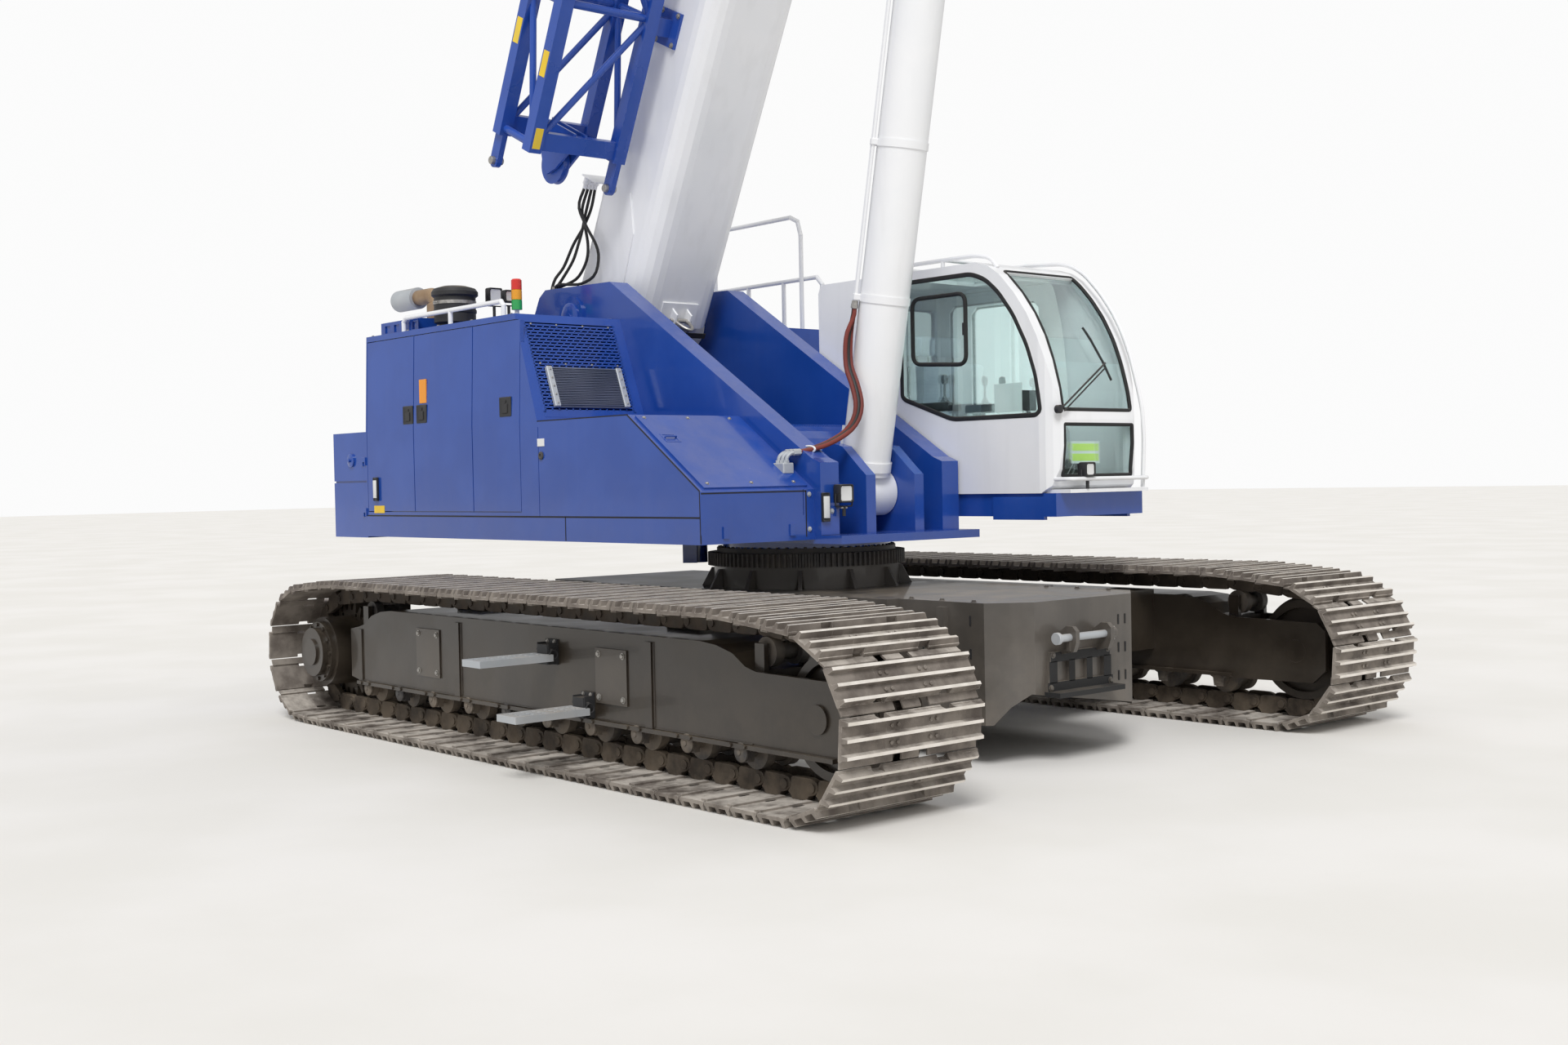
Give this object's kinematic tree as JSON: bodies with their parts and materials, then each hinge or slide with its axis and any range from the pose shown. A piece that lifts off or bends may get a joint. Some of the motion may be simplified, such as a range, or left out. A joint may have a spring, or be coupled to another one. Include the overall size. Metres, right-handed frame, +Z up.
{
  "type": "telescopic-boom crawler crane",
  "caption": "Crawler crane with a telescoping box boom on a slewing upper structure, side cab, lattice jib stowed on the boom and wide tracks on sliding side frames.",
  "frame": {"origin": "middle of the machine's footprint box on the ground, 140 mm behind the slew axis", "axes": "+X towards the front of the machine, +Y to its left, +Z up"},
  "size_m": [7.7212, 5.42, 13.1284],
  "materials": {
    "blue_paint": "gloss deep blue body paint",
    "chassis_paint": "satin brown-black chassis paint",
    "track_steel": "worn rusty shoe steel with tan dust",
    "white_paint": "gloss white paint",
    "step_alloy": "light grey pressed tread",
    "dark_steel": "dark grey machinery paint",
    "rod_chrome": "hard chrome",
    "glass": "green tinted safety glass",
    "seat": "seat under a clear cover",
    "plastic": "dark moulded plastic",
    "exhaust_steel": "heat-tanned steel",
    "hook_yellow": "yellow hook block paint"
  },
  "bodies": {
    "carbody": {"carbody": "chassis_paint", "axle_sleeves": "chassis_paint", "slew_ring": "dark_steel"},
    "side_right": {"frame_right": "chassis_paint", "track_right": "track_steel", "sprocket_right": "dark_steel", "idler_right": "dark_steel", "rollers_right": "dark_steel", "steps_right": "step_alloy"},
    "side_left": {"frame_left": "chassis_paint", "track_left": "track_steel", "sprocket_left": "dark_steel", "idler_left": "dark_steel", "rollers_left": "dark_steel", "steps_left": "step_alloy"},
    "upper": {"turntable": "blue_paint", "deck": "blue_paint", "hood": "blue_paint", "grille": "dark_steel", "engine": "dark_steel", "left_housing": "blue_paint", "counterweight": "blue_paint", "air_cleaner": "plastic", "exhaust": "exhaust_steel", "handrails": "white_paint", "tower_light": "white_paint"},
    "drum_main": {"drum_main": "dark_steel"},
    "drum_aux": {"drum_aux": "dark_steel"},
    "hood_door_front": {"hood_door_front": "blue_paint"},
    "hood_door_mid": {"hood_door_mid": "blue_paint"},
    "hood_door_rear": {"hood_door_rear": "blue_paint"},
    "cab": {"cab_shell": "white_paint", "cab_glass": "glass", "cab_seat": "seat"},
    "cab_door": {"cab_door": "white_paint", "door_glass": "glass"},
    "boom": {"boom_base": "white_paint", "jib": "blue_paint"},
    "boom_2": {"boom_2": "white_paint"},
    "boom_3": {"boom_3": "white_paint"},
    "boom_4": {"boom_4": "white_paint"},
    "boom_tip": {"boom_tip": "white_paint"},
    "luff_barrel": {"luff_barrel": "white_paint"},
    "luff_rod": {"luff_rod": "rod_chrome"},
    "hook": {"hook_block": "hook_yellow"}
  },
  "joints": [
    {"name": "retract_right", "type": "slide", "parent": "carbody", "child": "side_right", "axis": [0, 1, 0], "range_m": [0, 0.62]},
    {"name": "retract_left", "type": "slide", "parent": "carbody", "child": "side_left", "axis": [0, -1, 0], "range_m": [0, 0.62]},
    {"name": "slew", "type": "hinge", "parent": "carbody", "child": "upper", "pos_m": [0.14, 0, 1.19], "axis": [0, 0, 1], "continuous": true},
    {"name": "hoist_main", "type": "hinge", "parent": "upper", "child": "drum_main", "pos_m": [-2.08, 0, 1.95], "axis": [0, 1, 0], "continuous": true},
    {"name": "hoist_aux", "type": "hinge", "parent": "upper", "child": "drum_aux", "pos_m": [-2.84, 0, 1.95], "axis": [0, 1, 0], "continuous": true},
    {"name": "door_rear_swing", "type": "hinge", "parent": "upper", "child": "hood_door_rear", "pos_m": [-3.15, -1.47, 2], "axis": [0, 0, -1], "range_deg": [0, 90]},
    {"name": "door_mid_swing", "type": "hinge", "parent": "upper", "child": "hood_door_mid", "pos_m": [-1.62, -1.47, 2], "axis": [0, 0, 1], "range_deg": [0, 90]},
    {"name": "door_front_swing", "type": "hinge", "parent": "upper", "child": "hood_door_front", "pos_m": [-1.61, -1.47, 2], "axis": [0, 0, -1], "range_deg": [0, 90]},
    {"name": "cab_tilt", "type": "hinge", "parent": "upper", "child": "cab", "pos_m": [-0.38, 1.045, 1.475], "axis": [0, -1, 0], "range_deg": [0, 20]},
    {"name": "cab_door_slide", "type": "slide", "parent": "cab", "child": "cab_door", "axis": [-1, 0, 0], "range_m": [0, 0.64]},
    {"name": "luff", "type": "hinge", "parent": "upper", "child": "boom", "pos_m": [-1.66, 0, 2.78], "axis": [0, -1, 0], "range_deg": [-64, 16]},
    {"name": "tele_2", "type": "slide", "parent": "boom", "child": "boom_2", "axis": [0.4384, 0, 0.8988], "range_m": [0, 8]},
    {"name": "tele_3", "type": "slide", "parent": "boom_2", "child": "boom_3", "axis": [0.4384, 0, 0.8988], "range_m": [0, 8]},
    {"name": "tele_4", "type": "slide", "parent": "boom_3", "child": "boom_4", "axis": [0.4384, 0, 0.8988], "range_m": [0, 8]},
    {"name": "tele_tip", "type": "slide", "parent": "boom_4", "child": "boom_tip", "axis": [0.4384, 0, 0.8988], "range_m": [0, 8]},
    {"name": "luff_base", "type": "hinge", "parent": "upper", "child": "luff_barrel", "pos_m": [0.69, 0, 1.5], "axis": [0, -1, 0], "range_deg": [-69, 17.5]},
    {"name": "luff_stroke", "type": "slide", "parent": "luff_barrel", "child": "luff_rod", "axis": [0.1908, 0, 0.9816], "range_m": [-2.58, 0.66]},
    {"name": "hook_swing", "type": "hinge", "parent": "boom_tip", "child": "hook", "pos_m": [3.4602, 0, 12.82174], "axis": [0, 1, 0], "range_deg": [-69, 21]}
  ],
  "couplings": [
    {"joint": "luff_base", "follows": "luff", "ratio": 1.075},
    {"joint": "luff_stroke", "follows": "luff", "m_per_rad": 2.2918},
    {"joint": "tele_4", "follows": "tele_3", "ratio": 1},
    {"joint": "tele_tip", "follows": "tele_3", "ratio": 1}
  ]
}
